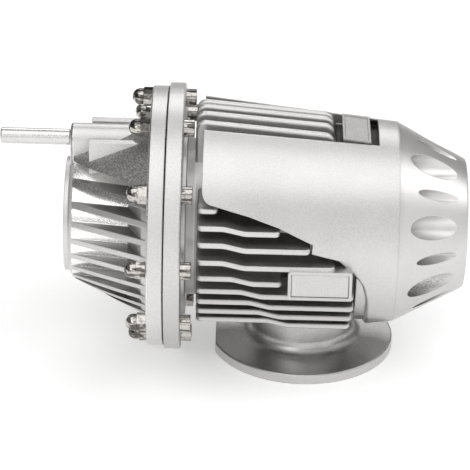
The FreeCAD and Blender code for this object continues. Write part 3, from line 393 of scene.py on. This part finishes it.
def coneFinish(shade, color):
    # a painted highlight on its upper half, painted shade on its lower half, and dark, coarse floors in the lower
    # scoops: partly rough chip marks, partly painted shade
    look = coneLook
    x, y, z, up = shade.parts()
    color = shadedBelow(shade, color, up)
    # painted highlight: the upper half past the cone's start is lighter
    upperHighlight = shade.product(
        shade.step(up, *look["highlightUp"], 0.0, look["highlightAmount"]), shade.step(x, *look["highlightAlong"]))
    color = shade.blendColor(upperHighlight, color, castLook["spark"])
    narrowing = shade.product(shade.calc("SUBTRACT", x, look["startAlong"]), look["slope"])
    surface = shade.calc("SUBTRACT", look["startRadius"], narrowing)
    out = shade.reach(y, up)
    # painted shade on the deep floors of the lower scoops, mottled by coarse spots for the rough chip marks
    floor = shade.product(
        shade.band(shade.calc("SUBTRACT", surface, out), *look["pitShadeDepth"], look["pitShadeSoft"]),
        shade.step(up, *look["pitShadeUp"], 0.0, look["pitShadeAmount"]),
        shade.step(out, *look["pitShadeOut"]), shade.step(x, *look["pitShadeAlong"]))
    spots = shade.step(shade.noise(look["pitScale"], 3.0, 0.7), *look["pitSpots"])
    return shade.blendColor(floor, color, shade.blendColor(spots, look["pitAndShade"], turnedLook["light"]))


def turnedMetal(name, roughness, grainDepth, base=turnedLook["light"], finish=None):
    # fine rings round the main axis: noise that is drawn out along the ring
    shade = Shade(name)
    look = turnedLook
    rings = shade.noise(look["lineScale"], 1.0, 0.5, look["lineStretch"])
    grain = shade.noise(look["grainScale"], 2.0, 0.6)
    blotch = shade.noise(look["blotchScale"], 3.0)
    dull = tuple(look["dullShare"] * part for part in base)
    color = shade.blendColor(shade.step(blotch, *metalLook["wave"]), dull, base)
    fleck = shade.product(shade.step(grain, *metalLook["speckle"]), look["fleck"])
    color = shade.blendColor(fleck, color, castLook["spark"])
    if finish:
        color = finish(shade, color)
    smoothest, roughest = roughness - metalLook["smoother"], roughness + metalLook["rougher"]
    shade.set("Base Color", color)
    shade.set("Metallic", 1.0)
    shade.set("Roughness", shade.step(grain, *metalLook["wave"], smoothest, roughest))
    normal = shade.bump(rings, look["lineDepth"], shade.roundEdges(look["edge"]))
    shade.set("Normal", shade.bump(grain, grainDepth, normal))
    return shade.material


coneMetal = turnedMetal("coneMetal", 0.42, 0.00003, finish=coneFinish)
brightMetal = turnedMetal("brightMetal", 0.24, 0.000004)
plateMetal = turnedMetal("plateMetal", 0.42, 0.000015, (0.62, 0.614, 0.608))
topPlateMetal = turnedMetal("topPlateMetal", 0.45, 0.00002, (0.50, 0.495, 0.49))
dress(coneMetal, "outlet_cone")
dress(brightMetal, "vacuum_nipple", "outlet_insert", "valve_seat_ring", "primary_valve", "secondary_valve",
      "diaphragm_plate_upper", "diaphragm_plate_lower")
dress(plateMetal, "side_badge_plate_near", "side_badge_plate_far")
dress(topPlateMetal, "top_badge_plate")

# stainless: screws and acorn nuts, nearly a mirror, with handling marks and streaks of painted dark reflection

stainlessLook = {
    "clean": (0.60, 0.57, 0.54),
    "worn": (0.30, 0.28, 0.26),
    # the colour of the painted dark reflections on the streaks
    "darkReflection": (0.05, 0.046, 0.042),
    "roughness": 0.10,
    "rougher": 0.14,
    "markScale": 900.0,
    "markRange": (0.45, 0.75),
    "markDepth": 0.000006,
    "streakScale": 520.0,
    "streakStretch": (0.3, 1.0, 1.0),
    "streakRange": (0.50, 0.58),
    "streakAmount": 0.85,
    "edge": 0.00018,
}


def stainlessMetal(name, tint=1.0, roughness=stainlessLook["roughness"]):
    shade = Shade(name)
    look = stainlessLook
    marks = shade.noise(look["markScale"], 4.0, 0.65)
    clean = tuple(tint * part for part in look["clean"])
    worn = tuple(tint * part for part in look["worn"])
    color = shade.blendColor(shade.step(marks, *look["markRange"]), clean, worn)
    # streaks of painted dark reflection, drawn out along x
    streaks = shade.noise(look["streakScale"], 2.0, 0.5, look["streakStretch"])
    amount = shade.step(streaks, *look["streakRange"], 0.0, look["streakAmount"])
    shade.set("Base Color", shade.blendColor(amount, color, look["darkReflection"]))
    shade.set("Metallic", 1.0)
    shade.set("Roughness", shade.step(marks, 0.4, 0.8, roughness, roughness + look["rougher"]))
    shade.set("Normal", shade.bump(marks, look["markDepth"], shade.roundEdges(look["edge"])))
    return shade.material


stainless = stainlessMetal("stainless")
dress(stainless, *[name for name in cad if name.startswith(("cap_screw", "acorn_nut"))])
springSteel = stainlessMetal("springSteel", 0.8, 0.25)
dress(springSteel, "valve_shaft", "shaft_nut", "shaft_washer", "bush_circlip", "primary_valve_nut",
      "pickup_ring", "pickup_circlip", "outlet_circlip")

# bronze bush and black rubber

rubberLook = {
    "dark": (0.012, 0.012, 0.012),
    "dusty": (0.04, 0.04, 0.04),
    "roughness": 0.6,
    "rougher": 0.25,
    "dustScale": 700.0,
    "dustDepth": 0.00002,
}


def blackRubber(name):
    shade = Shade(name)
    look = rubberLook
    dust = shade.noise(look["dustScale"], 4.0, 0.6)
    shade.set("Base Color", shade.blendColor(shade.step(dust, 0.4, 0.75), look["dark"], look["dusty"]))
    shade.set("Roughness", shade.step(dust, 0.3, 0.8, look["roughness"], look["roughness"] + look["rougher"]))
    shade.set("Normal", shade.bump(dust, look["dustDepth"]))
    return shade.material


rubber = blackRubber("rubber")
dress(rubber, "shaft_seal", "primary_valve_seal", "secondary_valve_seal", "seat_seal", "outlet_seal",
      "inlet_o_ring")
dress(turnedMetal("bronze", 0.3, 0.000004, (0.72, 0.50, 0.26)), "guide_bush")
print("finishes done")

# new pieces: each is a tube or ring whose points come from a formula

sharpAngle = math.radians(40)


def ringSurface(name, points, material, closed=True):
    # points is a grid of rows by columns: the columns close on themselves, and so do the rows, else their
    # two ends get a cap
    rows, columns = points.shape[:2]
    index = np.arange(rows * columns).reshape(rows, columns)
    last = rows if closed else rows - 1
    here, there = index[:last], np.roll(index, -1, axis=0)[:last]
    faces = np.stack([here, there, np.roll(there, -1, axis=1), np.roll(here, -1, axis=1)], axis=-1)
    faces = faces.reshape(-1, 4).tolist()
    if not closed:
        faces += [index[0].tolist(), index[-1][::-1].tolist()]
    mesh = bpy.data.meshes.new(name)
    mesh.from_pydata(points.reshape(-1, 3).tolist(), [], faces)
    shell = bmesh.new()
    shell.from_mesh(mesh)
    bmesh.ops.recalc_face_normals(shell, faces=shell.faces)
    shell.to_mesh(mesh)
    shell.free()
    mesh.shade_smooth()
    mesh.set_sharp_from_angle(angle=sharpAngle)
    mesh.materials.append(material)
    piece = bpy.data.objects.new(name, mesh)
    bpy.context.scene.collection.objects.link(piece)
    return piece


# the bead of rubber that the clamped rims squeeze out of the joint

beadLook = {
    "place": -0.0436,
    "ring": 0.04082,
    "thin": 0.00008,
    "thick": 0.00042,
    "flatness": 0.6,
    "around": 900,
    "across": 10,
}


def jointBead(look):
    # a tube bent into a ring; its own radius is thin, plus thick times the cube of a slow wave times a
    # quick wave, both of the angle round the ring, so that it swells here and there
    u = np.linspace(0.0, 2.0 * math.pi, look["around"], endpoint=False)[:, None]
    v = np.linspace(0.0, 2.0 * math.pi, look["across"], endpoint=False)[None, :]
    slow = 0.5 + 0.5 * np.sin(7.0 * u + 1.3 * np.sin(3.0 * u))
    quick = 0.5 + 0.5 * np.sin(61.0 * u + 2.0 * np.sin(11.0 * u))
    own = look["thin"] + look["thick"] * (slow * quick) ** 3
    out = look["ring"] + own * np.cos(v)
    along = look["place"] + look["flatness"] * own * np.sin(v)
    points = np.stack([along + 0.0 * u, out * np.sin(u), axisHeight + out * np.cos(u)], axis=-1)
    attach(ringSurface("jointBead", points, rubber), "casing")


jointBead(beadLook)
print("joint bead made")

# coil springs, in place of the rigid ones

lift = next(joint["range_m"][1] for joint in frame["joints"] if joint["name"] == "shaft_lift")
follows = frame["record"]["behaviour"]["couplings"][0]["ratio"]
perTurn, perWire = 48, 14
springLooks = {
    "returnCoil": {
        "node": "return_spring",
        "body": "casing",
        "ring": 0.0140,
        "wire": 0.0008,
        "turns": 5.0,
        "shortens": lift,
    },
    "sequenceCoil": {
        "node": "sequence_spring",
        "body": "secondary_group",
        "ring": 0.0075,
        "wire": 0.0003,
        "turns": 2.0,
        "shortens": lift * (1.0 - follows),
    },
}


def coilSpring(name, look):
    # a round wire on a helix: the place along the axis grows with the angle, and the wire's circle stands
    # square to the helix's own direction
    low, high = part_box(look["node"])
    first, last = low[0] + look["wire"], high[0] - look["wire"]
    angle = np.linspace(0.0, 2.0 * math.pi * look["turns"], int(perTurn * look["turns"]) + 1)
    v = np.linspace(0.0, 2.0 * math.pi, perWire, endpoint=False)[None, :, None]
    flat = np.zeros_like(angle)
    outward = np.stack([flat, np.cos(angle), np.sin(angle)], axis=-1)
    around = np.stack([flat, -np.sin(angle), np.cos(angle)], axis=-1)
    rise = (last - first) / angle[-1]
    heading = look["ring"] * around + np.array([rise, 0.0, 0.0])
    heading /= np.linalg.norm(heading, axis=1)[:, None]
    aside = np.cross(heading, outward)
    line = look["ring"] * outward + np.array([0.0, 0.0, axisHeight])
    line[:, 0] = first + rise * angle
    circle = np.cos(v) * outward[:, None, :] + np.sin(v) * aside[:, None, :]
    piece = ringSurface(name, line[:, None, :] + look["wire"] * circle, springSteel, closed=False)
    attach(piece, look["body"])
    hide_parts(look["node"])
    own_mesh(piece)


for name, look in springLooks.items():
    coilSpring(name, look)
print("springs made")

# the diaphragm in two rings: the clamped rim with its roll stays, and the middle is a ring of its own

sheetLook = {
    "thick": 0.0004,
    "wall": 0.00045,
    "rollHeight": 0.003,
    "slant": 0.0009,
    "rollOuter": 0.0309,
    "rollInner": 0.0246,
    "hole": 0.00205,
    "around": 180,
    "steps": 9,
}


def sheetRing(name, profile):
    # the profile, a closed line of places along the axis and radii, turned about the main axis
    turn = np.linspace(0.0, 2.0 * math.pi, sheetLook["around"], endpoint=False)[:, None]
    along, out = np.array(profile).T
    points = np.stack([along + 0.0 * turn, out * np.sin(turn), axisHeight + out * np.cos(turn)], axis=-1)
    return ringSurface(name, points, rubber)


def diaphragmSheet(look):
    low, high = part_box("diaphragm")
    rim = high[2] - axisHeight
    right = high[0]
    left = right - look["thick"]
    crest = left - look["rollHeight"]
    inner, outer = look["rollInner"], look["rollOuter"]
    foldLeft, foldRight = inner + look["slant"], inner + look["slant"] + look["wall"]
    outside = sheetRing("diaphragmRim", [
        (crest, foldLeft), (crest, outer - look["slant"]), (left, outer), (left, rim), (right, rim),
        (right, outer - look["wall"]), (crest + look["thick"], outer - look["slant"] - look["wall"]),
        (crest + look["thick"], foldRight)])
    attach(outside, "casing")
    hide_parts("diaphragm")
    share = np.linspace(0.0, 1.0, look["steps"])
    fall, narrowing = left - crest, inner - foldLeft
    leftLeg = [(crest + part * fall, foldLeft + part * narrowing) for part in share]
    rightLeg = [(right - part * fall, inner + look["wall"] - part * narrowing) for part in share]
    middle = sheetRing("diaphragmMiddle", leftLeg + [(left, look["hole"]), (right, look["hole"])] + rightLeg)
    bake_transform(middle)
    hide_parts("diaphragm")


diaphragmSheet(sheetLook)
print("diaphragm made")

# floor, light and camera

studioLook = {
    "floor": (0.92, 0.92, 0.92),
    "floorDull": 0.985,
    "floorRoughness": 0.9,
    "floorGlow": 0.37,
    "floorHalf": 3.0,
    "floorPoints": 9,
    "paperScale": 300.0,
    "world": (1.0, 0.995, 0.985),
    "worldStrength": 0.16,
}


def floorSheet():
    # a flat square grid, the two parameters are its x and y
    half, count = studioLook["floorHalf"], studioLook["floorPoints"]
    line = np.linspace(-half, half, count)
    u, v = np.meshgrid(line, line, indexing="ij")
    points = np.stack([u, v, np.zeros_like(u)], axis=-1).reshape(-1, 3)
    index = np.arange(count * count).reshape(count, count)
    faces = np.stack([index[:-1, :-1], index[1:, :-1], index[1:, 1:], index[:-1, 1:]], axis=-1).reshape(-1, 4)
    mesh = bpy.data.meshes.new("floor")
    mesh.from_pydata(points.tolist(), [], faces.tolist())
    piece = bpy.data.objects.new("floor", mesh)
    bpy.context.scene.collection.objects.link(piece)
    shade = Shade("floorPaper")
    paper = shade.noise(studioLook["paperScale"], 2.0)
    light = studioLook["floor"]
    dull = tuple(studioLook["floorDull"] * part for part in light)
    shade.set("Base Color", shade.blendColor(paper, light, dull))
    shade.set("Roughness", studioLook["floorRoughness"])
    shade.set("Emission Color", (1.0, 1.0, 1.0, 1.0))
    shade.set("Emission Strength", studioLook["floorGlow"])
    mesh.materials.append(shade.material)
    return piece


floorSheet()

world = bpy.data.worlds.new("studio")
world.use_nodes = True
background = world.node_tree.nodes["Background"]
background.inputs["Color"].default_value = (*studioLook["world"], 1.0)
background.inputs["Strength"].default_value = studioLook["worldStrength"]
bpy.context.scene.world = world
bpy.context.scene.view_settings.view_transform = "Standard"

lights = {
    # name: place, aim, size, brightness
    "topBox": ((0.05, -0.25, 0.95), (0.0, 0.0, 0.04), (1.5, 1.0), 1.28),
    "frontBox": ((0.10, -1.5, 0.45), (0.0, 0.0, 0.04), (1.5, 1.1), 0.74),
    "leftBox": ((-0.50, -0.95, 0.70), (0.0, 0.0, 0.04), (0.45, 0.4), 2.3),
    "rightBox": ((0.95, -0.65, 0.32), (0.0, 0.0, 0.04), (0.6, 0.5), 0.8),
    "rightTop": ((0.80, 0.05, 0.70), (0.0, 0.0, 0.04), (0.5, 0.6), 1.9),
    "backBox": ((-0.02, 0.85, 0.80), (0.0, 0.0, 0.04), (0.8, 0.5), 2.1),
}


def softBox(name, place, aim, size, brightness):
    lamp = bpy.data.lights.new(name, "AREA")
    lamp.shape = "RECTANGLE"
    lamp.size, lamp.size_y = size
    lamp.energy = math.pi * size[0] * size[1] * brightness
    piece = bpy.data.objects.new(name, lamp)
    piece.location = place
    piece.rotation_mode = "QUATERNION"
    piece.rotation_quaternion = (Vector(aim) - Vector(place)).to_track_quat("-Z", "Y")
    bpy.context.scene.collection.objects.link(piece)


for name, (place, aim, size, brightness) in lights.items():
    softBox(name, place, aim, size, brightness)

cameraLook = {
    "target": (-0.0221, 0.0, 0.03701),
    "elevation": 27.0,
    "yaw": 0.26,
    "roll": 1.354,
    "distance": 0.844,
    "lens": 204.0,
    "sensor": 36.0,
    "nearest": 0.05,
}


def photoCamera(look):
    # back points from the target to the camera; right and up are then turned by the roll
    e, yaw, roll = (math.radians(look[name]) for name in ("elevation", "yaw", "roll"))
    back = Vector((math.sin(yaw) * math.cos(e), -math.cos(yaw) * math.cos(e), math.sin(e)))
    side = Vector((math.cos(yaw), math.sin(yaw), 0.0))
    rise = back.cross(side)
    right = side * math.cos(roll) + rise * math.sin(roll)
    up = rise * math.cos(roll) - side * math.sin(roll)
    turn = Matrix((right, up, back)).transposed()
    lens = bpy.data.cameras.new("camera")
    lens.sensor_width = look["sensor"]
    lens.lens = look["lens"]
    lens.clip_start = look["nearest"]
    piece = bpy.data.objects.new("camera", lens)
    piece.rotation_mode = "QUATERNION"
    piece.rotation_quaternion = turn.to_quaternion()
    piece.location = Vector(look["target"]) + back * look["distance"]
    bpy.context.scene.collection.objects.link(piece)
    bpy.context.scene.camera = piece


photoCamera(cameraLook)
print("studio set")
